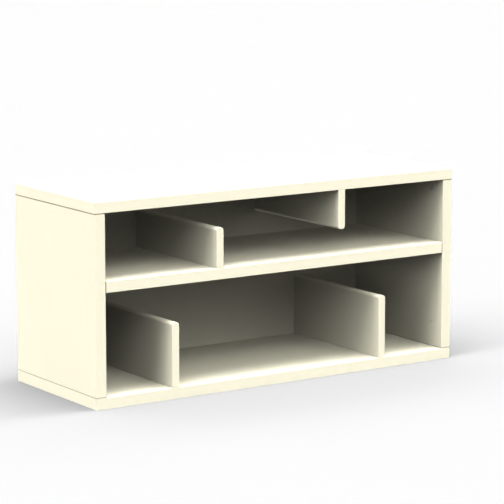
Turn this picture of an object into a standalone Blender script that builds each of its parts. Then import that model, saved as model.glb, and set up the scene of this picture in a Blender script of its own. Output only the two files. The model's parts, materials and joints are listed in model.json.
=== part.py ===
"""Desk hutch: a flat-packed shelf unit that stands on a desk.

Boards are held by cam fittings, wooden dowels and confirmat screws. The origin is on the desk, under the
middle of the hutch. +X runs to the right as seen from the front, +Y to the back and +Z up.
"""

import math

import bmesh
import bpy
from mathutils import Matrix, Vector

# Overall size and board thicknesses
WIDTH = 0.960
DEPTH = 0.350
HEIGHT = 0.450
BOARD = 0.025
DIVIDER = 0.018
BACK_PANEL = 0.004

# Heights and places of the inner boards
SHELF_UNDERSIDE = 0.253
LOWER_DIVIDER_X = 0.280
LOWER_DIVIDER_HEIGHT = 0.145
UPPER_DIVIDER_X = 0.164
UPPER_DIVIDER_HEIGHT = 0.090
BACK_PANEL_INSET = 0.006
GROOVE_DEPTH = 0.008

# Edges
TOP_RADIUS = 0.003
BULLNOSE_RADIUS = 0.007
ARRIS = 0.0004
BEVEL_STEPS = 4

# Fits
GAP = 0.0003
OVERSHOOT = 0.001

# Fitting positions, as depths behind the front edge
FRONT_FITTING = 0.045
REAR_FITTING = 0.305
SHELF_REAR_FITTING = 0.295
DOWEL_OFFSET = 0.032
DIVIDER_FRONT_FITTING = 0.064
DIVIDER_REAR_FITTING = 0.276
HANGING_CAM = 0.166

# Cam fitting
CAM_DISTANCE = 0.024
CAM_BORE_RADIUS = 0.0075
CAM_RADIUS = 0.0072
CAM_HOLLOW_RADIUS = 0.0052
CAM_HOLLOW_HALF = 0.0039
CAM_BASE = 0.005
CAM_RECESS = 0.003
CAM_RECESS_DIVIDER = 0.0008
CAM_SLOT_HALF = 0.0024
CAM_ENTRY_RADIUS = 0.0038
CAM_TRAVEL = math.radians(180)
CAM_SLOT_MARGIN = math.radians(27)
CROSS_LENGTH = 0.0088
CROSS_WIDTH = 0.0018
CROSS_DEPTH = 0.0026

# Cam bolt, measured from the face of the board that it is screwed into
BOLT_THREAD_LENGTH = 0.011
BOLT_THREAD_RADIUS = 0.003
BOLT_TURNS = 2
BOLT_SHANK_RADIUS = 0.0035
BOLT_SHANK_END = 0.0163
BOLT_NECK_RADIUS = 0.0021
BOLT_HEAD_START = 0.0208
BOLT_HEAD_END = 0.0240
BOLT_CHANNEL_RADIUS = 0.004

# Dowel
DOWEL_RADIUS = 0.004
DOWEL_SHORT = 0.012
DOWEL_LONG = 0.020
DOWEL_CHAMFER = 0.001

# Confirmat screw
SCREW_LENGTH = 0.050
SCREW_RADIUS = 0.0035
SCREW_CORE_RADIUS = 0.0025
SCREW_HEAD_RADIUS = 0.005
SCREW_HEAD_LENGTH = 0.0035
SCREW_RIM = 0.0009
SCREW_SHANK_END = 0.020
SCREW_TIP_LENGTH = 0.005
SCREW_TURNS = 3
SCREW_SINK = 0.0006
SOCKET_RADIUS = 0.0023
SOCKET_DEPTH = 0.0028

# Shelf-pin hole in each side panel
PIN_HOLE_RADIUS = 0.0025
PIN_HOLE_LENGTH = 0.010
PIN_HOLE_DEPTH = 0.038
PIN_HOLE_HEIGHT = 0.085

# Facets of round shapes
FINE_FACETS = 24
COARSE_FACETS = 10

INNER_X = WIDTH / 2 - BOARD
INNER_TOP = HEIGHT - BOARD
SHELF_TOP = SHELF_UNDERSIDE + BOARD
PANEL_FRONT = DEPTH - BACK_PANEL_INSET - BACK_PANEL

RIGHT = Vector((1, 0, 0))
BACKWARD = Vector((0, 1, 0))
UP = Vector((0, 0, 1))


def clear_scene():
    """Start from an empty scene."""
    for item in list(bpy.data.objects):
        bpy.data.objects.remove(item, do_unlink=True)


def make_material(name, colour, roughness, metallic=0.0):
    """One finish of the hutch."""
    material = bpy.data.materials.new(name)
    material.use_nodes = True
    shader = material.node_tree.nodes["Principled BSDF"]
    shader.inputs["Base Color"].default_value = (*colour, 1.0)
    shader.inputs["Roughness"].default_value = roughness
    shader.inputs["Metallic"].default_value = metallic
    return material


def add_object(name, mesh, material=None):
    """Link a mesh to the scene under its part name."""
    item = bpy.data.objects.new(name, mesh)
    if material and not mesh.materials:
        mesh.materials.append(material)
    bpy.context.scene.collection.objects.link(item)
    return item


def finish_mesh(name, bm):
    """Turn a bmesh into a mesh with its faces pointing out."""
    bm.normal_update()
    bmesh.ops.recalc_face_normals(bm, faces=bm.faces)
    mesh = bpy.data.meshes.new(name)
    bm.to_mesh(mesh)
    bm.free()
    return mesh


def smooth_round(mesh):
    """Shade a turned piece smooth and keep its corners sharp."""
    mesh.shade_smooth()
    mesh.set_sharp_from_angle(angle=math.radians(35))


def place(depth):
    """The Y position of a depth behind the front edge."""
    return depth - DEPTH / 2


def frame_matrix(origin, z_axis, x_axis):
    """A placement with local Z and local X along two directions at right angles."""
    z_axis = Vector(z_axis).normalized()
    x_axis = Vector(x_axis).normalized()
    y_axis = z_axis.cross(x_axis)
    turn = Matrix((x_axis, y_axis, z_axis)).transposed()
    return Matrix.LocRotScale(Vector(origin), turn, None)


# Boards


def board(name, low, high, material, round_edges=None, radius=ARRIS):
    """A board between two corners. The edges that round_edges picks get the radius, all others a fine arris."""
    low = Vector(low)
    high = Vector(high)
    half = (high - low) / 2
    bm = bmesh.new()
    bmesh.ops.create_cube(bm, size=1.0)
    bmesh.ops.scale(bm, vec=half * 2, verts=bm.verts)
    weights = bm.edges.layers.float.new("bevel_weight_edge")
    for edge in bm.edges:
        middle = (edge.verts[0].co + edge.verts[1].co) / 2
        rounded = round_edges is not None and round_edges(middle, half)
        edge[weights] = 1.0 if rounded else ARRIS / radius
    item = add_object(name, finish_mesh(name, bm), material)
    item.location = (low + high) / 2
    bevel = item.modifiers.new("edges", "BEVEL")
    bevel.limit_method = "WEIGHT"
    bevel.width = radius
    bevel.segments = BEVEL_STEPS if round_edges else 1
    return item


def upper_edges(middle, half):
    """The four edges round the upper face."""
    return middle.z > 0.9 * half.z


def free_upper_edges(middle, half):
    """The two long edges on top of a standing divider."""
    return middle.z > 0.9 * half.z and abs(middle.x) > 0.9 * half.x


def free_lower_edges(middle, half):
    """The two long edges under a hanging divider."""
    return middle.z < -0.9 * half.z and abs(middle.x) > 0.9 * half.x


def make_carcass(laminate, back_finish):
    """Top, bottom, two side panels, shelf and back panel, by name."""
    front = place(0)
    rear = place(DEPTH)
    shelf_rear = place(PANEL_FRONT - GAP)
    tongue = GROOVE_DEPTH - 2 * GAP
    boards = {}

    def add(name, low, high, finish=laminate, **edges):
        boards[name] = board(name, low, high, finish, **edges)

    add("bottom_board", (-WIDTH / 2, front, 0), (WIDTH / 2, rear, BOARD))
    add(
        "top_board",
        (-WIDTH / 2, front, INNER_TOP),
        (WIDTH / 2, rear, HEIGHT),
        round_edges=upper_edges,
        radius=TOP_RADIUS,
    )
    low_z = BOARD + GAP
    high_z = INNER_TOP - GAP
    add("left_side_panel", (-WIDTH / 2, front, low_z), (-INNER_X, rear, high_z))
    add("right_side_panel", (INNER_X, front, low_z), (WIDTH / 2, rear, high_z))
    shelf_x = INNER_X - GAP
    add("middle_shelf", (-shelf_x, front, SHELF_UNDERSIDE), (shelf_x, shelf_rear, SHELF_TOP))
    add(
        "back_panel",
        (-INNER_X - tongue, place(PANEL_FRONT), BOARD - tongue),
        (INNER_X + tongue, place(PANEL_FRONT + BACK_PANEL), INNER_TOP + tongue),
        back_finish,
    )
    return boards


def make_dividers(laminate):
    """Three standing dividers and one that hangs, by name. Each reaches back to the back panel."""
    front = place(0)
    rear = place(PANEL_FRONT - GAP)
    standing = {
        "lower_left_divider": (-LOWER_DIVIDER_X, BOARD, LOWER_DIVIDER_HEIGHT),
        "lower_right_divider": (LOWER_DIVIDER_X, BOARD, LOWER_DIVIDER_HEIGHT),
        "upper_left_divider": (-UPPER_DIVIDER_X, SHELF_TOP, UPPER_DIVIDER_HEIGHT),
    }
    boards = {}
    for name, (x, base, height) in standing.items():
        low = (x - DIVIDER / 2, front, base + GAP)
        high = (x + DIVIDER / 2, rear, base + height)
        boards[name] = board(name, low, high, laminate, free_upper_edges, BULLNOSE_RADIUS)
    low = (UPPER_DIVIDER_X - DIVIDER / 2, front, INNER_TOP - UPPER_DIVIDER_HEIGHT)
    high = (UPPER_DIVIDER_X + DIVIDER / 2, rear, INNER_TOP - GAP)
    name = "hanging_divider"
    boards[name] = board(name, low, high, laminate, free_lower_edges, BULLNOSE_RADIUS)
    return boards


# Machining


class Machining:
    """The bores and grooves of each board, cut once all fittings are known."""

    def __init__(self, boards):
        self.boards = boards
        self.cuts = {}

    def bore(self, board_name, mouth, direction, radius, depth):
        """A round blind hole from its mouth along a direction."""
        facets = FINE_FACETS if radius >= CAM_BORE_RADIUS else COARSE_FACETS
        bm = bmesh.new()
        bmesh.ops.create_cone(
            bm,
            cap_ends=True,
            segments=facets,
            radius1=radius,
            radius2=radius,
            depth=depth + OVERSHOOT,
        )
        side = RIGHT if abs(direction.x) < 0.5 else UP
        middle = mouth + direction * (depth - OVERSHOOT) / 2
        bm.transform(frame_matrix(middle, direction, side))
        self.add_cutter(board_name, bm)

    def groove(self, board_name, low, high):
        """A straight groove between two corners."""
        bm = bmesh.new()
        bmesh.ops.create_cube(bm, size=1.0)
        bmesh.ops.scale(bm, vec=Vector(high) - Vector(low), verts=bm.verts)
        bmesh.ops.translate(bm, vec=(Vector(high) + Vector(low)) / 2, verts=bm.verts)
        self.add_cutter(board_name, bm)

    def add_cutter(self, board_name, bm):
        """Keep a cutter for a board, as a guide that isn't part of the hutch."""
        cuts = self.cuts.setdefault(board_name, [])
        name = f"{board_name}_cutter_{len(cuts) + 1}"
        cutter = add_object(name, finish_mesh(name, bm))
        cutter.hide_render = True
        cutter.display_type = "WIRE"
        cuts.append(cutter)

    def cut(self):
        """Give each board a Boolean for each of its cutters."""
        for board_name, cutters in self.cuts.items():
            for cutter in cutters:
                boolean = self.boards[board_name].modifiers.new(cutter.name, "BOOLEAN")
                boolean.operation = "DIFFERENCE"
                boolean.solver = "EXACT"
                boolean.object = cutter


# Turned pieces


def turned_mesh(name, profile, facets):
    """A solid of revolution about local Z from (radius, height) points that start and end on the axis."""
    bm = bmesh.new()
    points = [bm.verts.new((radius, 0, height)) for radius, height in profile]
    edges = [bm.edges.new(pair) for pair in zip(points, points[1:])]
    bmesh.ops.spin(
        bm,
        geom=points + edges,
        axis=(0, 0, 1),
        cent=(0, 0, 0),
        steps=facets,
        angle=math.tau,
        use_merge=True,
    )
    bmesh.ops.remove_doubles(bm, verts=bm.verts, dist=1e-6)
    mesh = finish_mesh(name, bm)
    smooth_round(mesh)
    return mesh


def ridges(start, end, turns, root, crest):
    """The flanks of a simplified thread, as rings between two heights."""
    pitch = (end - start) / turns
    points = []
    for turn in range(turns):
        base = start + turn * pitch
        points += [(root, base), (crest, base + 0.4 * pitch), (crest, base + 0.6 * pitch)]
    return points + [(root, end)]


def bolt_mesh():
    """Cam bolt: thread below its origin, then shank, neck and head."""
    root = 0.8 * BOLT_THREAD_RADIUS
    thread = ridges(-BOLT_THREAD_LENGTH, 0, BOLT_TURNS, root, BOLT_THREAD_RADIUS)
    head_middle = (BOLT_HEAD_START + BOLT_HEAD_END) / 2
    head = [
        (BOLT_NECK_RADIUS, BOLT_HEAD_START - 0.0003),
        (0.9 * BOLT_SHANK_RADIUS, BOLT_HEAD_START),
        (BOLT_SHANK_RADIUS, head_middle),
        (0.8 * BOLT_SHANK_RADIUS, BOLT_HEAD_END),
    ]
    profile = [(0, -BOLT_THREAD_LENGTH), *thread]
    profile += [(root, GAP), (BOLT_SHANK_RADIUS, GAP + 0.0002), (BOLT_SHANK_RADIUS, BOLT_SHANK_END)]
    profile += [(BOLT_NECK_RADIUS, BOLT_SHANK_END + 0.0006), *head, (0, BOLT_HEAD_END)]
    return turned_mesh("cam_bolt", profile, COARSE_FACETS)


def dowel_mesh():
    """Wooden dowel: its short end is above its origin, its long end below."""
    edge = DOWEL_RADIUS - DOWEL_CHAMFER
    profile = [
        (0, -DOWEL_LONG),
        (edge, -DOWEL_LONG),
        (DOWEL_RADIUS, -DOWEL_LONG + DOWEL_CHAMFER),
        (DOWEL_RADIUS, DOWEL_SHORT - DOWEL_CHAMFER),
        (edge, DOWEL_SHORT),
        (0, DOWEL_SHORT),
    ]
    return turned_mesh("dowel", profile, COARSE_FACETS)


def screw_mesh():
    """Confirmat screw: head at its origin, point along local Z, with a six-sided socket."""
    tip_start = SCREW_LENGTH - SCREW_TIP_LENGTH
    profile = [
        (0, 0),
        (SCREW_HEAD_RADIUS, 0),
        (SCREW_HEAD_RADIUS, SCREW_RIM),
        (SCREW_RADIUS, SCREW_HEAD_LENGTH),
        (SCREW_RADIUS, SCREW_SHANK_END),
    ]
    profile += ridges(SCREW_SHANK_END + 0.0005, tip_start, SCREW_TURNS, SCREW_CORE_RADIUS, SCREW_RADIUS)
    profile.append((0, SCREW_LENGTH))
    mesh = turned_mesh("confirmat_screw", profile, COARSE_FACETS)
    bm = bmesh.new()
    bmesh.ops.create_cone(
        bm,
        cap_ends=True,
        segments=6,
        radius1=SOCKET_RADIUS,
        radius2=SOCKET_RADIUS,
        depth=2 * SOCKET_DEPTH,
    )
    return carved_mesh(mesh, [finish_mesh("screw_socket", bm)])


# Cam disc


def carved_mesh(mesh, cutters):
    """A mesh with closed cutter meshes taken out of it in turn."""
    blank = add_object("blank", mesh)
    tools = []
    for index, cutter in enumerate(cutters):
        tool = add_object(f"tool_{index}", cutter)
        boolean = blank.modifiers.new(tool.name, "BOOLEAN")
        boolean.operation = "DIFFERENCE"
        boolean.solver = "EXACT"
        boolean.object = tool
        tools.append(tool)
    graph = bpy.context.evaluated_depsgraph_get()
    carved = bpy.data.meshes.new_from_object(blank.evaluated_get(graph), depsgraph=graph)
    carved.name = mesh.name + "_carved"
    smooth_round(carved)
    for item in [blank, *tools]:
        bpy.data.objects.remove(item, do_unlink=True)
    return carved


def slot_cutter():
    """The curved slot in the cam's wall that lets the bolt's neck pass through the whole travel."""
    inner = 0.85 * CAM_HOLLOW_RADIUS
    outer = 1.3 * CAM_RADIUS
    start = CAM_SLOT_MARGIN
    sweep = -(CAM_TRAVEL + 2 * CAM_SLOT_MARGIN)
    steps = FINE_FACETS // 3
    bm = bmesh.new()
    corners = [
        (inner, 0, -CAM_SLOT_HALF),
        (outer, 0, -CAM_SLOT_HALF),
        (outer, 0, CAM_SLOT_HALF),
        (inner, 0, CAM_SLOT_HALF),
    ]
    section = bm.faces.new([bm.verts.new(corner) for corner in corners])
    bmesh.ops.rotate(bm, verts=bm.verts, cent=(0, 0, 0), matrix=Matrix.Rotation(start, 3, "Z"))
    bmesh.ops.spin(
        bm,
        geom=[section],
        axis=(0, 0, 1),
        cent=(0, 0, 0),
        steps=steps,
        angle=sweep,
    )
    bm.faces.ensure_lookup_table()
    return finish_mesh("cam_slot", bm)


def entry_cutter():
    """The round opening in the cam's wall that the bolt's head goes in by, at the open end of the slot."""
    bm = bmesh.new()
    length = 2 * CAM_RADIUS
    bmesh.ops.create_cone(
        bm,
        cap_ends=True,
        segments=COARSE_FACETS,
        radius1=CAM_ENTRY_RADIUS,
        radius2=CAM_ENTRY_RADIUS,
        depth=length,
    )
    direction = Matrix.Rotation(-CAM_TRAVEL, 3, "Z") @ RIGHT
    bm.transform(frame_matrix(direction * (length / 2 + 0.1 * CAM_RADIUS), direction, UP))
    return finish_mesh("cam_entry", bm)


def cross_cutter(top):
    """The cross recess for the screwdriver in the cam's upper face."""
    long_half = CROSS_LENGTH / 2
    short_half = CROSS_WIDTH / 2
    quarter = [(long_half, -short_half), (long_half, short_half), (short_half, short_half)]
    bm = bmesh.new()
    outline = []
    for turn in range(4):
        spin = Matrix.Rotation(turn * math.pi / 2, 3, "Z")
        outline += [bm.verts.new(spin @ Vector((x, y, top - CROSS_DEPTH))) for x, y in quarter]
    floor = bm.faces.new(outline)
    walls = bmesh.ops.extrude_face_region(bm, geom=[floor])
    lifted = [item for item in walls["geom"] if isinstance(item, bmesh.types.BMVert)]
    bmesh.ops.translate(bm, vec=UP * (CROSS_DEPTH + OVERSHOOT), verts=lifted)
    return finish_mesh("cam_cross", bm)


def cam_mesh(name, top):
    """Cam disc about local Z: hollow inside, with its slot starting at local +X. top is its upper face."""
    edge = 0.0004
    profile = [
        (0, -CAM_BASE),
        (CAM_RADIUS, -CAM_BASE),
        (CAM_RADIUS, top - edge),
        (CAM_RADIUS - edge, top),
        (0, top),
    ]
    blank = turned_mesh(name, profile, FINE_FACETS)
    hollow = [
        (0, -CAM_HOLLOW_HALF),
        (CAM_HOLLOW_RADIUS, -CAM_HOLLOW_HALF),
        (CAM_HOLLOW_RADIUS, CAM_HOLLOW_HALF),
        (0, CAM_HOLLOW_HALF),
    ]
    cutters = [
        turned_mesh("cam_hollow", hollow, FINE_FACETS),
        slot_cutter(),
        entry_cutter(),
        cross_cutter(top),
    ]
    return carved_mesh(blank, cutters)


# Fittings


class Fittings:
    """Places cams, bolts, dowels and screws, and has their holes machined."""

    def __init__(self, machining, finishes):
        self.machining = machining
        self.finishes = finishes
        self.bolt = bolt_mesh()
        self.dowel_shape = dowel_mesh()
        self.screw_shape = screw_mesh()
        self.cams = {}

    def add(self, name, mesh, finish, matrix):
        """One fitting, placed and with its finish."""
        item = add_object(name, mesh, self.finishes[finish])
        item.matrix_world = matrix
        return item

    def cam(self, name, cam_board, bolt_board, joint, into, face, half, recess):
        """A cam in cam_board and its bolt in bolt_board.

        joint is where the bolt's axis leaves bolt_board, into points from there along the bolt, and face is
        the outward normal of the face that shows the cam, half a board's thickness from the axis.
        """
        joint = Vector(joint)
        centre = joint + into * CAM_DISTANCE
        top = half - recess
        if top not in self.cams:
            self.cams[top] = cam_mesh("cam_disc", top)
        self.add(f"{name}_cam", self.cams[top], "zinc", frame_matrix(centre, face, -into))
        self.add(f"{name}_cam_bolt", self.bolt, "steel", frame_matrix(joint, into, face))
        bore = self.machining.bore
        bore(cam_board, centre + face * half, -face, CAM_BORE_RADIUS, half + CAM_BASE + GAP)
        bore(cam_board, joint, into, BOLT_CHANNEL_RADIUS, CAM_DISTANCE - BOLT_NECK_RADIUS)
        bore(bolt_board, joint, -into, BOLT_THREAD_RADIUS + GAP, BOLT_THREAD_LENGTH + GAP)

    def dowel(self, name, short_board, long_board, joint, into):
        """A dowel across a joint, its long end going into long_board along into."""
        joint = Vector(joint)
        side = RIGHT if abs(into.x) < 0.5 else UP
        self.add(f"{name}_dowel", self.dowel_shape, "beech", frame_matrix(joint, -into, side))
        radius = DOWEL_RADIUS + GAP
        self.machining.bore(long_board, joint, into, radius, DOWEL_LONG + 2 * GAP)
        self.machining.bore(short_board, joint, -into, radius, DOWEL_SHORT + 2 * GAP)

    def screw(self, name, through_board, into_board, x, depth, underside):
        """A confirmat screw driven upwards through one board into the next."""
        mouth = Vector((x, place(depth), underside))
        head = mouth + UP * SCREW_SINK
        self.add(f"{name}_screw", self.screw_shape, "steel", frame_matrix(head, UP, RIGHT))
        bore = self.machining.bore
        bore(through_board, mouth, UP, SCREW_HEAD_RADIUS + GAP, SCREW_SINK + SCREW_HEAD_LENGTH + GAP)
        bore(through_board, mouth, UP, SCREW_RADIUS + GAP, BOARD + OVERSHOOT)
        into_start = mouth + UP * BOARD
        length = SCREW_SINK + SCREW_LENGTH + 2 * GAP - BOARD
        bore(into_board, into_start, UP, SCREW_RADIUS + GAP, length)


def fit_sides(fittings):
    """Cams and dowels at the top, confirmats and dowels at the bottom, of each side panel."""
    for side_name, sign in (("left", -1), ("right", 1)):
        panel = f"{side_name}_side_panel"
        x = sign * (WIDTH - BOARD) / 2
        inward = -sign * RIGHT
        for end, depth, step in (("front", FRONT_FITTING, 1), ("rear", REAR_FITTING, -1)):
            name = f"{side_name}_{end}"
            joint = (x, place(depth), INNER_TOP)
            fittings.cam(name, panel, "top_board", joint, -UP, inward, BOARD / 2, CAM_RECESS)
            dowel_y = place(depth + step * DOWEL_OFFSET)
            fittings.dowel(f"top_{name}", "top_board", panel, (x, dowel_y, INNER_TOP), -UP)
            fittings.dowel(f"bottom_{name}", "bottom_board", panel, (x, dowel_y, BOARD), UP)
            fittings.screw(f"bottom_{name}", "bottom_board", panel, x, depth, 0)


def fit_shelf(fittings):
    """Cams in the shelf's underside and dowels at both of its ends."""
    middle = SHELF_UNDERSIDE + BOARD / 2
    for side_name, sign in (("left", -1), ("right", 1)):
        panel = f"{side_name}_side_panel"
        inward = -sign * RIGHT
        x = sign * INNER_X
        for end, depth, step in (("front", FRONT_FITTING, 1), ("rear", SHELF_REAR_FITTING, -1)):
            name = f"shelf_{side_name}_{end}"
            joint = (x, place(depth), middle)
            fittings.cam(name, "middle_shelf", panel, joint, inward, -UP, BOARD / 2, CAM_RECESS)
            dowel_y = place(depth + step * DOWEL_OFFSET)
            fittings.dowel(name, panel, "middle_shelf", (x, dowel_y, middle), inward)


def fit_dividers(fittings):
    """Screws under the standing dividers, and a cam between two dowels over the hanging one."""
    standing = (
        ("lower_left", "bottom_board", -LOWER_DIVIDER_X, 0),
        ("lower_right", "bottom_board", LOWER_DIVIDER_X, 0),
        ("upper_left", "middle_shelf", -UPPER_DIVIDER_X, SHELF_UNDERSIDE),
    )
    ends = (("front", DIVIDER_FRONT_FITTING), ("rear", DIVIDER_REAR_FITTING))
    for name, base, x, underside in standing:
        for end, depth in ends:
            fittings.screw(f"{name}_{end}", base, f"{name}_divider", x, depth, underside)
    divider = "hanging_divider"
    for end, depth in ends:
        joint = (UPPER_DIVIDER_X, place(depth), INNER_TOP)
        fittings.dowel(f"hanging_{end}", "top_board", divider, joint, -UP)
    joint = (UPPER_DIVIDER_X, place(HANGING_CAM), INNER_TOP)
    recess = CAM_RECESS_DIVIDER
    fittings.cam("hanging", divider, "top_board", joint, -UP, -RIGHT, DIVIDER / 2, recess)


def cut_grooves(machining):
    """Grooves that hold the back panel: through in the side panels, stopped in the top and bottom boards."""
    near = place(PANEL_FRONT - GAP)
    far = place(PANEL_FRONT + BACK_PANEL + GAP)
    reach = INNER_X + GROOVE_DEPTH
    for name, sign in (("left_side_panel", -1), ("right_side_panel", 1)):
        xs = sorted((sign * (INNER_X - OVERSHOOT), sign * reach))
        machining.groove(name, (xs[0], near, 0), (xs[1], far, HEIGHT))
    machining.groove("bottom_board", (-reach, near, BOARD - GROOVE_DEPTH), (reach, far, BOARD + OVERSHOOT))
    machining.groove("top_board", (-reach, near, INNER_TOP - OVERSHOOT), (reach, far, INNER_TOP + GROOVE_DEPTH))


def drill_pin_holes(machining):
    """One blind pin hole low in each side panel."""
    for name, sign in (("left_side_panel", -1), ("right_side_panel", 1)):
        mouth = Vector((sign * INNER_X, place(PIN_HOLE_DEPTH), PIN_HOLE_HEIGHT))
        machining.bore(name, mouth, sign * RIGHT, PIN_HOLE_RADIUS, PIN_HOLE_LENGTH)


def main():
    clear_scene()
    laminate = make_material("cream_laminate", (0.93, 0.90, 0.76), 0.45)
    divider_laminate = make_material("cream_divider_laminate", (0.92, 0.89, 0.76), 0.45)
    back_finish = make_material("back_panel_lacquer", (0.90, 0.87, 0.74), 0.6)
    finishes = {
        "zinc": make_material("die_cast_zinc", (0.55, 0.56, 0.57), 0.42, 1.0),
        "steel": make_material("plated_steel", (0.70, 0.69, 0.66), 0.32, 1.0),
        "beech": make_material("beech", (0.72, 0.52, 0.33), 0.7),
    }
    boards = make_carcass(laminate, back_finish)
    boards.update(make_dividers(divider_laminate))
    machining = Machining(boards)
    fittings = Fittings(machining, finishes)
    fit_sides(fittings)
    fit_shelf(fittings)
    fit_dividers(fittings)
    cut_grooves(machining)
    drill_pin_holes(machining)
    machining.cut()


main()
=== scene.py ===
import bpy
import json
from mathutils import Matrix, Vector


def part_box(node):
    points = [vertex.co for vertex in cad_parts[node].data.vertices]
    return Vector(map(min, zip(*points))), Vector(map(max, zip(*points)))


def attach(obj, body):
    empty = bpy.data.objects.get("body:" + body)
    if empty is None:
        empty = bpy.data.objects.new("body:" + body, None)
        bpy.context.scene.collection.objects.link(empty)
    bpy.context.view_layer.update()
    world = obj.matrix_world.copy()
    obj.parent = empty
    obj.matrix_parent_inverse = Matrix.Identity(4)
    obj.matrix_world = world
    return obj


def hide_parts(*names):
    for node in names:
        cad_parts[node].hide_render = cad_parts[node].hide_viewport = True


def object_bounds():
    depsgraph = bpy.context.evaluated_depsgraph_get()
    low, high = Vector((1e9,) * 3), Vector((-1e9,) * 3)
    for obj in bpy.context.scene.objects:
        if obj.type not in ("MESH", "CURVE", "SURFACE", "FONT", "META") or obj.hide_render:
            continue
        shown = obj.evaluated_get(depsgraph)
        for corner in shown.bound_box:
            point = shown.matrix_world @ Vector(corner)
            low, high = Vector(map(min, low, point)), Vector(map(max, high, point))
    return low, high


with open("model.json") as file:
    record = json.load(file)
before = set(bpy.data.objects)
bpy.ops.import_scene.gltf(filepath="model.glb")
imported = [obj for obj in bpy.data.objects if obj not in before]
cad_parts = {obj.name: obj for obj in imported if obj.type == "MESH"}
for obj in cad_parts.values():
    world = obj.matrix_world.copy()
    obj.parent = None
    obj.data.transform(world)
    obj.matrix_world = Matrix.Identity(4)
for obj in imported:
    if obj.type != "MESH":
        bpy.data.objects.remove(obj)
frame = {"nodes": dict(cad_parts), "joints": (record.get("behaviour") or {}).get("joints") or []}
cad_box = [list(corner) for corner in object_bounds()]

# Desk hutch: finer boards, back panel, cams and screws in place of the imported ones, finishes for these and
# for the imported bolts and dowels, a pale floor, soft studio light and the camera.
# Metres, +Z up; the front of the hutch faces -Y.

import json
import math

import bmesh
import bpy
from mathutils import Matrix, Vector

# Edges of the boards
TOP_RADIUS = 0.0012
BULLNOSE_RADIUS = 0.007
ARRIS = 0.0004
JOINT_GAP = 0.0007
ROUND_STEPS = 10
ARRIS_STEPS = 3
SHARP_ANGLE = math.radians(40)
OUTERMOST = 0.9

# Bores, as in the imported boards
FIT = 0.0003
OVERSHOOT = 0.001
CAM_BORE_RADIUS = 0.0075
CAM_BASE = 0.005
BOLT_CHANNEL_RADIUS = 0.004
BOLT_THREAD_RADIUS = 0.003
BOLT_THREAD_LENGTH = 0.011
CAM_DISTANCE = 0.024
BOLT_NECK_RADIUS = 0.0021
PIN_HOLE_RADIUS = 0.0025
PIN_HOLE_LENGTH = 0.010
PIN_HOLE_DEPTH = 0.038
PIN_HOLE_HEIGHT = 0.085

# Mesh detail
FINE_FACETS = 64
BORE_FACETS = 32
SLIVER = 2e-6
BOARD_CORNER = math.radians(35)
HARDWARE_CORNER = math.radians(30)
LARGE_FACE_WEIGHT = 100

# Cam disc
CAM_RADIUS = 0.0072
CAM_HOLLOW_RADIUS = 0.0052
CAM_HOLLOW_HALF = 0.0039
CAM_EDGE = 0.0005
CAM_EDGE_CORNER = 0.3
CAM_SLOT_HALF = 0.0024
CAM_SLOT_INNER = 0.85 * CAM_HOLLOW_RADIUS
CAM_SLOT_OUTER = 1.3 * CAM_RADIUS
CAM_ENTRY_RADIUS = 0.0038
CAM_ENTRY_START = 0.1 * CAM_RADIUS
CAM_TRAVEL = math.radians(180)
CAM_SLOT_MARGIN = math.radians(27)
CROSS_LENGTH = 0.0088
CROSS_WIDTH = 0.0018
CROSS_DEPTH = 0.0026
CROSS_TAPER = 0.72
ARROW_TIP = 0.0066
ARROW_BASE = 0.0049
ARROW_HALF = 0.0011
ARROW_DEPTH = 0.0004

# Confirmat screw
SCREW_LENGTH = 0.050
SCREW_RADIUS = 0.0035
SCREW_CORE_RADIUS = 0.0025
SCREW_HEAD_RADIUS = 0.005
SCREW_HEAD_LENGTH = 0.0035
SCREW_RIM = 0.0009
SCREW_SHANK_END = 0.020
SCREW_TIP_LENGTH = 0.005
SCREW_TURNS = 5
SCREW_EDGE = 0.0003
CREST_START = 0.4
CREST_END = 0.55
SOCKET_RADIUS = 0.0023
SOCKET_DEPTH = 0.0028

# Colours, linear
CREAM = (0.860, 0.826, 0.648)
RUBBED_CREAM = (0.80, 0.75, 0.60)
# Painted shade for the butting joints, a warm dark grey-brown
JOINT_SHADE_COLOUR = (0.36, 0.28, 0.19)
CORE = (0.72, 0.60, 0.42)
BARE_FIBRE = (0.62, 0.50, 0.34)
# Zinc grey, darkened as painted shade for the bores the cams sit in
ZINC_IN_PAINTED_SHADE = (0.11, 0.106, 0.092)
STEEL = (0.62, 0.62, 0.62)
PLATING_BLOOM = (0.68, 0.63, 0.54)
BEECH_DARK = (0.56, 0.37, 0.20)
BEECH_LIGHT = (0.70, 0.50, 0.30)
BEECH_FLECK = (0.36, 0.21, 0.10)

# Laminate
BAND_THICKNESS = 0.0009
# Painted light: the front faces, where the edge band runs, are lightened for the light they catch, fully
# within the distance below and by the factor after it.
FRONT_PAINTED_LIGHT_FULL = 0.8 * BAND_THICKNESS
FRONT_PAINTED_LIGHT = 1.14
GLUE_LINE = 0.00016
GLUE_LINE_CORE = 0.00005
GLUE_DARKNESS = 0.16
GLUE_DEPTH = 2.0
RUBBED_WIDTH = 0.0016
RUBBED_CORE = 0.0002
RUBBED_SHARE = 0.3
RUBBED_ROUGHNESS = 0.14
SATIN = 0.44
JOINT_SHADE_WIDTH = 0.0013
JOINT_SHADE_FADE = 0.4

# The range that soft noise mostly fills
NOISE_LOW = 0.3
NOISE_HIGH = 0.7

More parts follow.
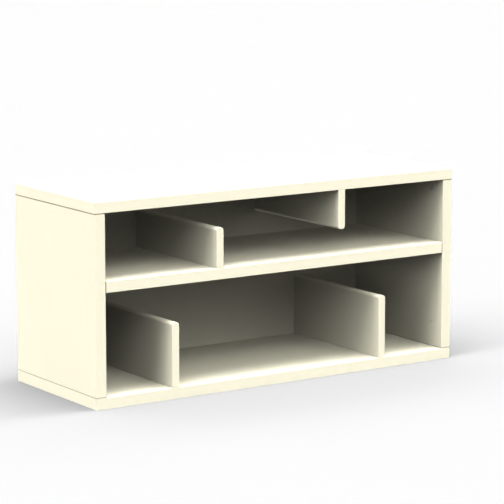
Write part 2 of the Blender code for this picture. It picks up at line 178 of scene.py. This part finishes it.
# Light. Each glow has a brightness, then the start, peak and end of the band of the dome that it fills.
# -1 is level behind the hutch, 0 is the arch over its two ends and 1 is level in front of it.
STRIP = (25.0, -0.1, 0.04, 0.18)
SHOULDER = (11.0, 0.0, 0.2, 0.45)
WINDOW = (3.75, 0.4, 0.7, 0.95)
REAR_WINDOW = (4.4, -0.25, -0.5, -0.8)
END_GLOW = (2.3, 0.0, 0.15, 0.6)
HORIZON = 0.47
FILL = 0.1
FILL_FROM = Vector((-0.36, -0.05, 0.93))
BOUNCE = 0.5
BOUNCE_FROM = Vector((0, 0, -1))
SKY_MAP_SIZE = 1024
TINY = 0.0001

# Floor
FLOOR_TONE = 0.255
FLOOR_REACH = 60.0
FLOOR_ROUGHNESS = 0.9

# Camera
VIEW_AZIMUTH = -33.949
VIEW_ELEVATION = 9.735
VIEW_DISTANCE = 5.53
AIM_OFFSET = Vector((0.0270, -0.0159, 0.0480))
FOCAL_LENGTH = 172.8

RIGHT = Vector((1, 0, 0))
UP = Vector((0, 0, 1))
LOW, HIGH = (Vector(corner) for corner in cad_box)
CARCASS_BOARDS = ("top_board", "bottom_board", "left_side_panel", "right_side_panel", "middle_shelf")
DIVIDERS = ("lower_left_divider", "lower_right_divider", "upper_left_divider", "hanging_divider")


# Meshes


def add_object(name, data):
    """Link an object made from a mesh, a light or a camera to the scene."""
    item = bpy.data.objects.new(name, data)
    bpy.context.scene.collection.objects.link(item)
    return item


def finish_mesh(name, bm):
    """Turn a bmesh into a mesh with its faces pointing out."""
    bm.normal_update()
    bmesh.ops.recalc_face_normals(bm, faces=bm.faces)
    mesh = bpy.data.meshes.new(name)
    bm.to_mesh(mesh)
    bm.free()
    return mesh


def frame_matrix(origin, z_axis, x_axis):
    """A placement with local Z and local X along two directions at right angles."""
    z_axis = Vector(z_axis).normalized()
    x_axis = Vector(x_axis).normalized()
    turn = Matrix((x_axis, z_axis.cross(x_axis), z_axis)).transposed()
    return Matrix.LocRotScale(Vector(origin), turn, None)


def block_mesh(name, low, high):
    """A plain block between two corners."""
    bm = bmesh.new()
    bmesh.ops.create_cube(bm, size=1.0)
    bmesh.ops.scale(bm, vec=high - low, verts=bm.verts)
    bmesh.ops.translate(bm, vec=(high + low) / 2, verts=bm.verts)
    return finish_mesh(name, bm)


def rod_mesh(name, mouth, direction, radius, depth, facets=BORE_FACETS):
    """A round cutter that starts a little before its mouth."""
    bm = bmesh.new()
    bmesh.ops.create_cone(
        bm,
        cap_ends=True,
        segments=facets,
        radius1=radius,
        radius2=radius,
        depth=depth + OVERSHOOT,
    )
    side = RIGHT if abs(direction.x) < 0.5 else UP
    bm.transform(frame_matrix(mouth + direction * (depth - OVERSHOOT) / 2, direction, side))
    return finish_mesh(name, bm)


def turned_mesh(name, profile, facets):
    """A solid of revolution about local Z from (radius, height) points that start and end on the axis."""
    bm = bmesh.new()
    points = [bm.verts.new((radius, 0, height)) for radius, height in profile]
    edges = [bm.edges.new(pair) for pair in zip(points, points[1:])]
    bmesh.ops.spin(
        bm,
        geom=points + edges,
        axis=UP,
        cent=(0, 0, 0),
        steps=facets,
        angle=math.tau,
        use_merge=True,
    )
    bmesh.ops.remove_doubles(bm, verts=bm.verts, dist=SLIVER)
    return finish_mesh(name, bm)


def prism_mesh(name, outline, levels):
    """A solid along local Z from a flat outline, whose scale and height are given at each level."""
    bm = bmesh.new()
    rings = [[bm.verts.new((scale * x, scale * y, height)) for x, y in outline] for scale, height in levels]
    bm.faces.new(rings[0])
    bm.faces.new(rings[-1])
    for lower, upper in zip(rings, rings[1:]):
        for index, corner in enumerate(lower):
            after = (index + 1) % len(lower)
            bm.faces.new((corner, lower[after], upper[after], upper[index]))
    return finish_mesh(name, bm)


def evaluated(item, name):
    """The mesh of an object with its modifiers worked in."""
    graph = bpy.context.evaluated_depsgraph_get()
    mesh = bpy.data.meshes.new_from_object(item.evaluated_get(graph), depsgraph=graph)
    mesh.name = name
    return mesh


def carved(name, mesh, cutters, corner=HARDWARE_CORNER):
    """A mesh with closed cutters taken out of it in turn. Faces that a cutter leaves keep its material."""
    blank = add_object("blank", mesh)
    tools = [add_object(f"tool_{index}", cutter) for index, cutter in enumerate(cutters)]
    for tool in tools:
        boolean = blank.modifiers.new(tool.name, "BOOLEAN")
        boolean.operation = "DIFFERENCE"
        boolean.solver = "EXACT"
        boolean.material_mode = "TRANSFER"
        boolean.object = tool
    result = evaluated(blank, name)
    for item in [blank, *tools]:
        bpy.data.objects.remove(item, do_unlink=True)
    return shaded(name, without_slivers(result), corner)


def without_slivers(mesh):
    """Merge the corners that cutters leave almost on top of each other."""
    bm = bmesh.new()
    bm.from_mesh(mesh)
    bmesh.ops.remove_doubles(bm, verts=bm.verts, dist=SLIVER)
    bmesh.ops.dissolve_degenerate(bm, edges=bm.edges, dist=SLIVER)
    bm.to_mesh(mesh)
    bm.free()
    return mesh


def shaded(name, mesh, corner):
    """Shade a mesh smooth over its rounds, flat over its large faces and sharp at its corners."""
    mesh.shade_smooth()
    mesh.set_sharp_from_angle(angle=corner)
    item = add_object("shading", mesh)
    normals = item.modifiers.new("normals", "WEIGHTED_NORMAL")
    normals.keep_sharp = True
    normals.weight = LARGE_FACE_WEIGHT
    result = evaluated(item, name)
    bpy.data.objects.remove(item, do_unlink=True)
    return result


# Boards


def rounded_edges(name, middle, half):
    """True for the edges of a board that have a visible radius. middle is an edge's, from the centre."""
    if name == "top_board":
        return middle.z > OUTERMOST * half.z
    if name == "hanging_divider":
        return middle.z < -OUTERMOST * half.z and abs(middle.x) > OUTERMOST * half.x
    if name in DIVIDERS:
        return middle.z > OUTERMOST * half.z and abs(middle.x) > OUTERMOST * half.x
    return False


def eased(bm, edges, radius, steps):
    """Round some edges of a block."""
    bmesh.ops.bevel(
        bm,
        geom=edges,
        offset=radius,
        offset_type="OFFSET",
        segments=steps,
        profile=0.5,
        affect="EDGES",
        clamp_overlap=True,
    )


def edged_block(name, low, high):
    """A board's block with its visible radii, then a fine arris on every edge that is still sharp."""
    half = (high - low) / 2
    radius = BULLNOSE_RADIUS if name in DIVIDERS else TOP_RADIUS
    bm = bmesh.new()
    bmesh.ops.create_cube(bm, size=1.0)
    bmesh.ops.scale(bm, vec=half * 2, verts=bm.verts)
    round_edges = []
    for edge in bm.edges:
        middle = (edge.verts[0].co + edge.verts[1].co) / 2
        if rounded_edges(name, middle, half):
            round_edges.append(edge)
    if round_edges:
        eased(bm, round_edges, radius, ROUND_STEPS)
    sharp = [edge for edge in bm.edges if edge.calc_face_angle(0.0) > SHARP_ANGLE]
    eased(bm, sharp, ARRIS, ARRIS_STEPS)
    bmesh.ops.translate(bm, vec=(low + high) / 2, verts=bm.verts)
    return finish_mesh(name, bm)


def butt_axis(name):
    """The direction in which a board's ends butt against its neighbours, or None if its joints are tight."""
    if name.endswith("side_panel"):
        return 2
    return 0 if name == "middle_shelf" else None


def joint_ends(name, low, high):
    """A board's two corners, moved in where a hairline joint stays open at its butting ends."""
    gap = Vector()
    if butt_axis(name) is not None:
        gap[butt_axis(name)] = JOINT_GAP
    return low + gap, high - gap


def overlaps(first, second):
    """True if two boxes share space. A box is its lowest and its highest corner."""
    low, high = first
    other_low, other_high = second
    return all(low[i] < other_high[i] and other_low[i] < high[i] for i in range(3))


def long_axis(low, high):
    """The direction that a rod-like box is longest in."""
    size = high - low
    index = max(range(3), key=lambda i: size[i])
    return Vector([1.0 if i == index else 0.0 for i in range(3)])


def cam_placement(name):
    """A cam's centre on its bolt's axis, its face's normal, the way to its bolt and its face's height."""
    joint = next(item for item in frame["joints"] if item["child"] == name)
    face = Vector(joint["axis"]).normalized()
    low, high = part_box(name)
    base = (low + high) / 2
    extent = abs((high - low).dot(face))
    centre = base + face * (CAM_BASE - extent / 2)
    bolt_low, bolt_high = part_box(f"{name}_bolt")
    towards = (bolt_low + bolt_high) / 2 - centre
    towards -= face * towards.dot(face)
    return centre, face, towards.normalized(), extent - CAM_BASE


def cam_bore(name, board):
    """The bore for a cam, from the face of the board to behind the cam. board is the board's box."""
    centre, face, _, _ = cam_placement(name)
    surface = min(abs((corner - centre).dot(face)) for corner in board)
    depth = surface + CAM_BASE + FIT
    return [rod_mesh(name, centre + face * surface, -face, CAM_BORE_RADIUS, depth, FINE_FACETS)]


def bolt_bore(name, board):
    """The channel for a bolt's neck and the hole for its thread, to either side of the joint."""
    centre, _, towards, _ = cam_placement(name.removesuffix("_bolt"))
    joint = centre + towards * CAM_DISTANCE
    return [
        rod_mesh(name, joint, -towards, BOLT_CHANNEL_RADIUS, CAM_DISTANCE - BOLT_NECK_RADIUS),
        rod_mesh(name, joint, towards, BOLT_THREAD_RADIUS + FIT, BOLT_THREAD_LENGTH + FIT),
    ]


def dowel_bore(name, board):
    """The hole for a dowel, across the joint. The dowel is two radii wide both ways."""
    low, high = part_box(name)
    axis = long_axis(low, high)
    length = (high - low).dot(axis)
    diagonal = (high - low - axis * length).length
    start = (low + high) / 2 - axis * (length / 2 + FIT)
    return [rod_mesh(name, start, axis, diagonal / math.sqrt(8) + FIT, length + 2 * FIT)]


def screw_bore(name, board):
    """The stepped hole for a confirmat screw, from its head upwards."""
    low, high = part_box(name)
    head = SCREW_HEAD_RADIUS + FIT
    shank = SCREW_RADIUS + FIT
    step = SCREW_HEAD_LENGTH + FIT
    end = SCREW_LENGTH + 2 * FIT
    profile = [(0, -OVERSHOOT), (head, -OVERSHOOT), (head, step), (shank, step), (shank, end), (0, end)]
    mesh = turned_mesh(name, profile, BORE_FACETS)
    mesh.transform(Matrix.Translation(((low.x + high.x) / 2, (low.y + high.y) / 2, low.z)))
    return [mesh]


BORES = {"cam": cam_bore, "bolt": bolt_bore, "dowel": dowel_bore, "screw": screw_bore}


def bore_cutters(board):
    """Everything that is bored out of a board for its cams, bolts, dowels and screws. board is its box."""
    found = []
    for name in frame["nodes"]:
        bore = BORES.get(name.rsplit("_", 1)[-1])
        if bore and overlaps(board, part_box(name)):
            found += bore(name, board)
    return found


def groove_cutters(name):
    """The back panel's groove in a board, and the pin hole of a side panel."""
    panel_low, panel_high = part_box("back_panel")
    slack = Vector((FIT, FIT, FIT))
    groove_low = panel_low - slack
    groove_high = panel_high + slack
    if name.endswith("side_panel"):
        groove_low.z = LOW.z
        groove_high.z = HIGH.z
    found = []
    if name in ("top_board", "bottom_board") or name.endswith("side_panel"):
        found.append(block_mesh("groove", groove_low, groove_high))
    if name.endswith("side_panel"):
        low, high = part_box(name)
        inward = RIGHT if high.x < 0 else -RIGHT
        inner = high.x if high.x < 0 else low.x
        mouth = Vector((inner, LOW.y + PIN_HOLE_DEPTH, LOW.z + PIN_HOLE_HEIGHT))
        found.append(rod_mesh("pin_hole", mouth, -inward, PIN_HOLE_RADIUS, PIN_HOLE_LENGTH))
    return found


def make_board(name, finish, core):
    """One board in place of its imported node."""
    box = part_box(name)
    mesh = edged_block(name, *joint_ends(name, *box))
    mesh.materials.append(finish)
    cutters = bore_cutters(box) + groove_cutters(name)
    for cutter in cutters:
        cutter.materials.append(core)
    piece = add_object(f"{name}_finished", carved(name, mesh, cutters, BOARD_CORNER))
    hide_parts(name)
    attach(piece, "carcass")


# Cams and screws


def cross_cutter(top):
    """The tapered cross recess for the screwdriver."""
    long_half = CROSS_LENGTH / 2
    short_half = CROSS_WIDTH / 2
    quarter = [(long_half, -short_half), (long_half, short_half), (short_half, short_half)]
    outline = []
    for turn in range(4):
        spin = Matrix.Rotation(turn * math.pi / 2, 2)
        outline += [spin @ Vector(point) for point in quarter]
    levels = [(CROSS_TAPER, top - CROSS_DEPTH), (1.0, top), (1.0, top + OVERSHOOT)]
    return prism_mesh("cross", outline, levels)


def arrow_cutter(top):
    """The small arrow in the cam's face that points to its bolt when the cam is locked."""
    outline = [(ARROW_BASE, -ARROW_HALF), (ARROW_TIP, 0), (ARROW_BASE, ARROW_HALF)]
    return prism_mesh("arrow", outline, [(1.0, top - ARROW_DEPTH), (1.0, top + OVERSHOOT)])


def slot_cutter():
    """The curved slot in the cam's wall that lets the bolt's neck pass through the whole travel."""
    bm = bmesh.new()
    corners = [
        (CAM_SLOT_INNER, 0, -CAM_SLOT_HALF),
        (CAM_SLOT_OUTER, 0, -CAM_SLOT_HALF),
        (CAM_SLOT_OUTER, 0, CAM_SLOT_HALF),
        (CAM_SLOT_INNER, 0, CAM_SLOT_HALF),
    ]
    section = bm.faces.new([bm.verts.new(corner) for corner in corners])
    start = Matrix.Rotation(CAM_SLOT_MARGIN, 3, "Z")
    bmesh.ops.rotate(bm, verts=bm.verts, cent=(0, 0, 0), matrix=start)
    bmesh.ops.spin(
        bm,
        geom=[section],
        axis=UP,
        cent=(0, 0, 0),
        steps=BORE_FACETS,
        angle=-(CAM_TRAVEL + 2 * CAM_SLOT_MARGIN),
    )
    return finish_mesh("cam_slot", bm)


def cam_mesh(top):
    """Hollow cam disc about local Z with a slot, an entry, a cross recess and an arrow. top is its face."""
    blank = turned_mesh(
        "cam_disc",
        [
            (0, -CAM_BASE),
            (CAM_RADIUS - CAM_EDGE, -CAM_BASE),
            (CAM_RADIUS, -CAM_BASE + CAM_EDGE),
            (CAM_RADIUS, top - CAM_EDGE),
            (CAM_RADIUS - CAM_EDGE_CORNER * CAM_EDGE, top - CAM_EDGE_CORNER * CAM_EDGE),
            (CAM_RADIUS - CAM_EDGE, top),
            (0, top),
        ],
        FINE_FACETS,
    )
    hollow = turned_mesh(
        "cam_hollow",
        [
            (0, -CAM_HOLLOW_HALF),
            (CAM_HOLLOW_RADIUS, -CAM_HOLLOW_HALF),
            (CAM_HOLLOW_RADIUS, CAM_HOLLOW_HALF),
            (0, CAM_HOLLOW_HALF),
        ],
        FINE_FACETS,
    )
    open_side = Matrix.Rotation(-CAM_TRAVEL, 3, "Z") @ RIGHT
    entry = rod_mesh("cam_entry", open_side * CAM_ENTRY_START, open_side, CAM_ENTRY_RADIUS, 2 * CAM_RADIUS)
    return carved("cam_disc", blank, [hollow, slot_cutter(), entry, cross_cutter(top), arrow_cutter(top)])


def make_cams(zinc):
    """The nine cam discs, each riding on its own body."""
    shapes = {}
    for name in frame["nodes"]:
        if not name.endswith("_cam"):
            continue
        centre, face, towards, top = cam_placement(name)
        key = round(top, 5)
        if key not in shapes:
            shapes[key] = cam_mesh(top)
            shapes[key].materials.append(zinc)
        piece = add_object(f"{name}_disc", shapes[key])
        piece.matrix_world = frame_matrix(centre, face, towards)
        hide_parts(name)
        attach(piece, name)


def ridges(start, end, turns, root, crest):
    """The flanks of a thread, as rings between two heights."""
    pitch = (end - start) / turns
    points = []
    for turn in range(turns):
        base = start + turn * pitch
        points += [(root, base), (crest, base + CREST_START * pitch), (crest, base + CREST_END * pitch)]
    return points + [(root, end)]


def screw_mesh(steel):
    """Confirmat screw: head at its origin, point along local Z, with a six-sided socket."""
    tip_start = SCREW_LENGTH - SCREW_TIP_LENGTH
    profile = [
        (0, 0),
        (SCREW_HEAD_RADIUS - SCREW_EDGE, 0),
        (SCREW_HEAD_RADIUS, SCREW_EDGE),
        (SCREW_HEAD_RADIUS, SCREW_RIM),
        (SCREW_RADIUS, SCREW_HEAD_LENGTH),
        (SCREW_RADIUS, SCREW_SHANK_END),
        *ridges(SCREW_SHANK_END + SCREW_EDGE, tip_start, SCREW_TURNS, SCREW_CORE_RADIUS, SCREW_RADIUS),
        (0, SCREW_LENGTH),
    ]
    socket = rod_mesh("screw_socket", Vector(), UP, SOCKET_RADIUS, SOCKET_DEPTH, 6)
    mesh = carved("confirmat_screw", turned_mesh("screw", profile, BORE_FACETS), [socket])
    mesh.materials.append(steel)
    return mesh


def make_screws(steel):
    """The ten confirmat screws."""
    shape = screw_mesh(steel)
    for name in frame["nodes"]:
        if not name.endswith("_screw"):
            continue
        low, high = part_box(name)
        middle = (low + high) / 2
        piece = add_object(f"{name}_turned", shape)
        piece.matrix_world = frame_matrix((middle.x, middle.y, low.z), UP, RIGHT)
        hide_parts(name)
        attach(piece, "carcass")


# Finishes


class Nodes:
    """Adds shader nodes to a tree."""

    def __init__(self, tree):
        self.tree = tree

    def put(self, socket, value):
        """Link a socket to another, or give it a constant."""
        if isinstance(value, bpy.types.NodeSocket):
            self.tree.links.new(value, socket)
        elif socket.type == "RGBA" and len(value) == 3:
            socket.default_value = (*value, 1.0)
        else:
            socket.default_value = value

    def node(self, kind, *values, **settings):
        """A node with its first inputs filled in turn and its settings set."""
        made = self.tree.nodes.new(kind)
        for key, value in settings.items():
            setattr(made, key, value)
        for socket, value in zip(made.inputs, values):
            if value is not None:
                self.put(socket, value)
        return made

    def maths(self, operation, *values):
        """One sum on numbers."""
        return self.node("ShaderNodeMath", *values, operation=operation).outputs[0]

    def vectors(self, operation, *values):
        """One sum on vectors."""
        return self.node("ShaderNodeVectorMath", *values, operation=operation).outputs[0]

    def split(self, vector):
        """The three parts of a vector."""
        return self.node("ShaderNodeSeparateXYZ", vector).outputs

    def span(self, value, low, high, to_low=0.0, to_high=1.0):
        """A smooth step of a value from one range to another."""
        kind = "ShaderNodeMapRange"
        made = self.node(kind, value, low, high, to_low, to_high, interpolation_type="SMOOTHSTEP")
        return made.outputs[0]


class Finish(Nodes):
    """One procedural material, worked out from the position on the piece."""

    def __init__(self, name):
        self.material = bpy.data.materials.new(name)
        self.material.use_nodes = True
        super().__init__(self.material.node_tree)
        self.shader = self.tree.nodes["Principled BSDF"]
        self.where = self.node("ShaderNodeTexCoord").outputs["Object"]

    def noise(self, scale, detail=2.0, stretch=(1, 1, 1), offset=(0, 0, 0)):
        """Soft noise from 0 to 1. scale is in features per metre."""
        place = self.node("ShaderNodeMapping", self.where, offset, None, stretch)
        made = self.node("ShaderNodeTexNoise")
        self.put(made.inputs["Vector"], place.outputs[0])
        made.inputs["Scale"].default_value = scale
        made.inputs["Detail"].default_value = detail
        return made.outputs[0]

    def cells(self, scale, stretch=(1, 1, 1)):
        """The random colour and the distance of scattered cells."""
        place = self.node("ShaderNodeMapping", self.where, None, None, stretch)
        made = self.node("ShaderNodeTexVoronoi")
        self.put(made.inputs["Vector"], place.outputs[0])
        made.inputs["Scale"].default_value = scale
        return made.outputs["Color"], made.outputs["Distance"]

    def mottle(self, noise, low, high=1.0):
        """Noise turned into a number that mostly runs between two others."""
        return self.span(noise, NOISE_LOW, NOISE_HIGH, low, high)

    def blend(self, share, first, second):
        """A colour between two colours."""
        made = self.node("ShaderNodeMix", data_type="RGBA")
        self.put(made.inputs[0], share)
        self.put(made.inputs[6], first)
        self.put(made.inputs[7], second)
        return made.outputs[2]

    def scaled(self, colour, value):
        """A colour made lighter or darker by a number."""
        made = self.node("ShaderNodeVectorMath", operation="SCALE")
        self.put(made.inputs[0], colour)
        self.put(made.inputs["Scale"], value)
        return made.outputs[0]

    def edge_distance(self, low, high):
        """How far a point on a board's surface is from the board's nearest edge."""
        centred = self.vectors("ABSOLUTE", self.vectors("SUBTRACT", self.where, (low + high) / 2))
        x, y, z = self.split(self.vectors("SUBTRACT", (high - low) / 2, centred))
        least = self.maths("MINIMUM", x, y)
        most = self.maths("MAXIMUM", x, y)
        return self.maths("MAXIMUM", least, self.maths("MINIMUM", most, z))

    def finish(self, colour, roughness, relief=None, depth=0.0, specular=0.5, metallic=0.0):
        """Connect the finished colour, roughness and relief. depth is the relief's height in metres."""
        self.put(self.shader.inputs["Base Color"], colour)
        self.put(self.shader.inputs["Roughness"], roughness)
        self.shader.inputs["Metallic"].default_value = metallic
        self.shader.inputs["Specular IOR Level"].default_value = specular
        if relief is not None:
            bump = self.node("ShaderNodeBump")
            bump.inputs["Distance"].default_value = depth
            self.put(bump.inputs["Height"], relief)
            self.put(self.shader.inputs["Normal"], bump.outputs[0])
        return self.material


def glue_line(made, behind_front):
    """1 on the fine line where the edge band meets the board's faces, and 0 elsewhere."""
    off_line = made.maths("ABSOLUTE", made.maths("SUBTRACT", behind_front, BAND_THICKNESS))
    return made.span(off_line, GLUE_LINE, GLUE_LINE_CORE)


def painted_joint_shade(made, colour, axis, low, high):
    """A colour with painted shade along the two ends of a board that butt against its neighbours, for the
    shadow in the joints.
    """
    middle = (low[axis] + high[axis]) / 2
    from_middle = made.maths("SUBTRACT", made.split(made.where)[axis], middle)
    from_end = made.maths("SUBTRACT", (high[axis] - low[axis]) / 2, made.maths("ABSOLUTE", from_middle))
    start = JOINT_GAP + JOINT_SHADE_WIDTH
    shade_mask = made.span(from_end, start, start - JOINT_SHADE_FADE * JOINT_SHADE_WIDTH)
    return made.blend(shade_mask, colour, JOINT_SHADE_COLOUR)


def laminate(name, node):
    """Cream laminate: faint clouds and speckle, a pearled surface, rubbed edges, the edge band's glue line,
    painted light that makes the front faces lighter and, on butting boards, painted shade along the joints.
    """
    low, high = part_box(node)
    made = Finish(name)
    clouds = made.mottle(made.noise(scale=5.0, detail=3.0, offset=(low + high) * 3), low=0.982)
    speckle = made.mottle(made.noise(scale=1100.0), low=0.975)
    behind_front = made.maths("SUBTRACT", made.split(made.where)[1], low.y)
    # Painted light: the front faces are made lighter for the light they catch.
    painted_front_light = made.span(behind_front, BAND_THICKNESS, FRONT_PAINTED_LIGHT_FULL, to_low=1.0, to_high=FRONT_PAINTED_LIGHT)
    glue = glue_line(made, behind_front)
    tone = made.maths("MULTIPLY", made.maths("MULTIPLY", clouds, speckle), painted_front_light)
    tone = made.maths("MULTIPLY", tone, made.maths("MULTIPLY_ADD", glue, -GLUE_DARKNESS, 1.0))
    patches = made.span(made.noise(scale=70.0, detail=4.0), low=0.42, high=0.62)
    near_edge = made.span(made.edge_distance(low, high), RUBBED_WIDTH, RUBBED_CORE)
    wear = made.maths("MULTIPLY", near_edge, patches)
    colour = made.blend(made.maths("MULTIPLY", wear, RUBBED_SHARE), made.scaled(CREAM, tone), RUBBED_CREAM)
    # Painted shade along the butting ends, for the shadow in the joints.
    if butt_axis(node) is not None:
        colour = painted_joint_shade(made, colour, butt_axis(node), low, high)
    handled = made.noise(scale=28.0, detail=5.0, stretch=(1, 0.25, 1))
    dulling = made.span(handled, low=0.35, high=0.7, to_high=0.09)
    roughness = made.maths("MULTIPLY_ADD", wear, RUBBED_ROUGHNESS, made.maths("ADD", dulling, SATIN))
    relief = made.maths("MULTIPLY_ADD", glue, -GLUE_DEPTH, made.noise(scale=850.0, detail=1.5))
    return made.finish(colour, roughness, relief, depth=0.00003, specular=0.3)


def particle_core():
    """Bare particle board inside bores and grooves: pressed chips of several browns."""
    made = Finish("particle_core")
    chips, distance = made.cells(scale=520.0, stretch=(1, 1, 1.6))
    tone = made.span(made.split(chips)[0], low=0.0, high=1.0, to_low=0.72, to_high=1.28)
    fibre = made.mottle(made.noise(scale=1800.0, detail=3.0), low=0.9, high=1.1)
    colour = made.scaled(CORE, made.maths("MULTIPLY", tone, fibre))
    roughness = made.mottle(made.noise(scale=400.0), low=0.82, high=0.95)
    return made.finish(colour, roughness, distance, depth=0.0002, specular=0.2)


def lacquered_back():
    """Lacquer on thin fibreboard: the pressed fibres show faintly through."""
    made = Finish("back_lacquer")
    clouds = made.mottle(made.noise(scale=4.0, detail=3.0), low=0.975)
    fibres = made.noise(scale=520.0, detail=4.0, stretch=(1, 1, 0.35))
    colour = made.scaled(CREAM, made.maths("MULTIPLY", clouds, made.mottle(fibres, low=0.97)))
    from_edge = made.edge_distance(*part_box("back_panel"))
    wear = made.span(from_edge, low=0.0012, high=RUBBED_CORE, to_high=RUBBED_SHARE)
    colour = made.blend(wear, colour, BARE_FIBRE)
    roughness = made.mottle(made.noise(scale=60.0, detail=3.0), low=0.5, high=0.62)
    return made.finish(colour, roughness, fibres, depth=0.00005, specular=0.3)


def cast_zinc():
    """Die-cast zinc, its grey darkened as painted shade for the bore the cam sits in: finely grained, and
    darker towards its lower end, below the face.
    """
    made = Finish("die_cast_zinc")
    cloud = made.mottle(made.noise(scale=420.0, detail=3.0), low=0.78, high=1.08)
    # Darker towards the lower end, below the face.
    lower_darkening = made.span(made.split(made.where)[2], low=0.003, high=0.0062, to_low=0.55)
    colour = made.scaled(ZINC_IN_PAINTED_SHADE, made.maths("MULTIPLY", cloud, lower_darkening))
    roughness = made.mottle(made.noise(scale=900.0, detail=3.0), low=0.36, high=0.56)
    grain = made.noise(scale=2600.0, detail=3.0)
    return made.finish(colour, roughness, grain, depth=0.00004, metallic=1.0)


def plated_steel():
    """Zinc-plated steel: turning marks round the axis and a faint warm bloom."""
    made = Finish("plated_steel")
    marks = made.noise(scale=300.0, detail=3.0, stretch=(0.3, 0.3, 9))
    bloom = made.span(made.noise(scale=260.0), low=0.35, high=0.65)
    colour = made.scaled(made.blend(bloom, STEEL, PLATING_BLOOM), made.mottle(marks, low=0.86))
    roughness = made.mottle(marks, low=0.24, high=0.40)
    return made.finish(colour, roughness, marks, depth=0.00002, metallic=1.0)


def beech():
    """Beech: straight grain with short dark flecks."""
    made = Finish("beech")
    grain = made.noise(scale=900.0, detail=4.0, stretch=(0.25, 0.25, 0.25))
    flecks = made.span(made.noise(scale=2400.0), low=0.58, high=0.68, to_high=0.4)
    colour = made.blend(made.span(grain, low=0.35, high=0.65), BEECH_DARK, BEECH_LIGHT)
    colour = made.blend(flecks, colour, BEECH_FLECK)
    roughness = made.mottle(grain, low=0.62, high=0.78)
    return made.finish(colour, roughness, grain, depth=0.00008, specular=0.3)


def paint_nodes(ending, material):
    """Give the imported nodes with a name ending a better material."""
    for name, node in frame["nodes"].items():
        if name.endswith(ending):
            node.material_slots[0].material = material


# Stage


def add_floor():
    """A pale floor that runs out of sight."""
    bm = bmesh.new()
    corners = [(-1, -1), (1, -1), (1, 1), (-1, 1)]
    bm.faces.new([bm.verts.new((x * FLOOR_REACH, y * FLOOR_REACH, LOW.z)) for x, y in corners])
    floor = add_object("floor", finish_mesh("floor", bm))
    made = Finish("floor_paper")
    colour = made.scaled((FLOOR_TONE,) * 3, made.mottle(made.noise(scale=3.0), low=0.995))
    floor.data.materials.append(made.finish(colour, FLOOR_ROUGHNESS, specular=0.0))


def glow_shape(sky, frontward, start, peak, end):
    """A soft-edged band of the dome: 0 at its start and its end and 1 at its peak."""
    return sky.maths("MULTIPLY", sky.span(frontward, start, peak), sky.span(frontward, end, peak))


def add_sky():
    """Soft studio light: a strip overhead, large windows before and behind the hutch, and glowing ends."""
    world = bpy.data.worlds.new("studio")
    bpy.context.scene.world = world
    world.use_nodes = True
    sky = Nodes(world.node_tree)
    direction = sky.node("ShaderNodeTexCoord").outputs["Generated"]
    across, along, height = sky.split(sky.vectors("NORMALIZE", direction))
    frontward = sky.maths("MULTIPLY", along, -1.0)
    upright = sky.maths("MULTIPLY", height, height)
    round_arch = sky.maths("ADD", upright, sky.maths("MULTIPLY", across, across))
    overhead = sky.maths("DIVIDE", upright, sky.maths("MAXIMUM", round_arch, TINY))
    endward = sky.maths("SUBTRACT", 1.0, overhead)
    light = HORIZON
    for glow, place in (
        (STRIP, overhead),
        (SHOULDER, overhead),
        (WINDOW, overhead),
        (REAR_WINDOW, overhead),
        (END_GLOW, endward),
    ):
        brightness, *band = glow
        shape = sky.maths("MULTIPLY", glow_shape(sky, frontward, *band), place)
        light = sky.maths("MULTIPLY_ADD", shape, brightness, light)
    seen = sky.node("ShaderNodeLightPath").outputs["Is Camera Ray"]
    light = sky.node("ShaderNodeMix", seen, None, light, 1.0).outputs[0]
    background = sky.tree.nodes["Background"]
    background.inputs["Color"].default_value = (1, 1, 1, 1)
    sky.put(background.inputs["Strength"], light)
    world.cycles.sampling_method = "MANUAL"
    world.cycles.sample_map_resolution = SKY_MAP_SIZE


def add_fill(name, energy, source):
    """A faint even light that stands in for what the room reflects into the compartments."""
    fill = bpy.data.lights.new(name, "SUN")
    fill.energy = energy
    fill.use_shadow = False
    lamp = add_object(name, fill)
    lamp.rotation_euler = source.to_track_quat("Z", "Y").to_euler()


def add_camera():
    """The camera, to the left of the hutch and a little above it."""
    azimuth = math.radians(VIEW_AZIMUTH)
    elevation = math.radians(VIEW_ELEVATION)
    lens = bpy.data.cameras.new("camera")
    lens.lens = FOCAL_LENGTH
    camera = add_object("camera", lens)
    flat = math.cos(elevation)
    back = Vector((math.sin(azimuth) * flat, -math.cos(azimuth) * flat, math.sin(elevation)))
    camera.location = (LOW + HIGH) / 2 + AIM_OFFSET + back * VIEW_DISTANCE
    camera.rotation_euler = (math.pi / 2 - elevation, 0, azimuth)
    bpy.context.scene.camera = camera


core = particle_core()
for board in CARCASS_BOARDS:
    make_board(board, laminate(f"{board}_laminate", board), core)
for board in DIVIDERS:
    make_board(board, laminate(f"{board}_laminate", board), core)
make_board("back_panel", lacquered_back(), core)
make_cams(cast_zinc())
steel = plated_steel()
make_screws(steel)
paint_nodes("_bolt", steel)
paint_nodes("_dowel", beech())
add_floor()
add_sky()
add_fill("fill", FILL, FILL_FROM)
add_fill("bounce", BOUNCE, BOUNCE_FROM)
add_camera()
bpy.context.scene.view_settings.view_transform = "Standard"
bpy.context.scene.cycles.diffuse_bounces = 0
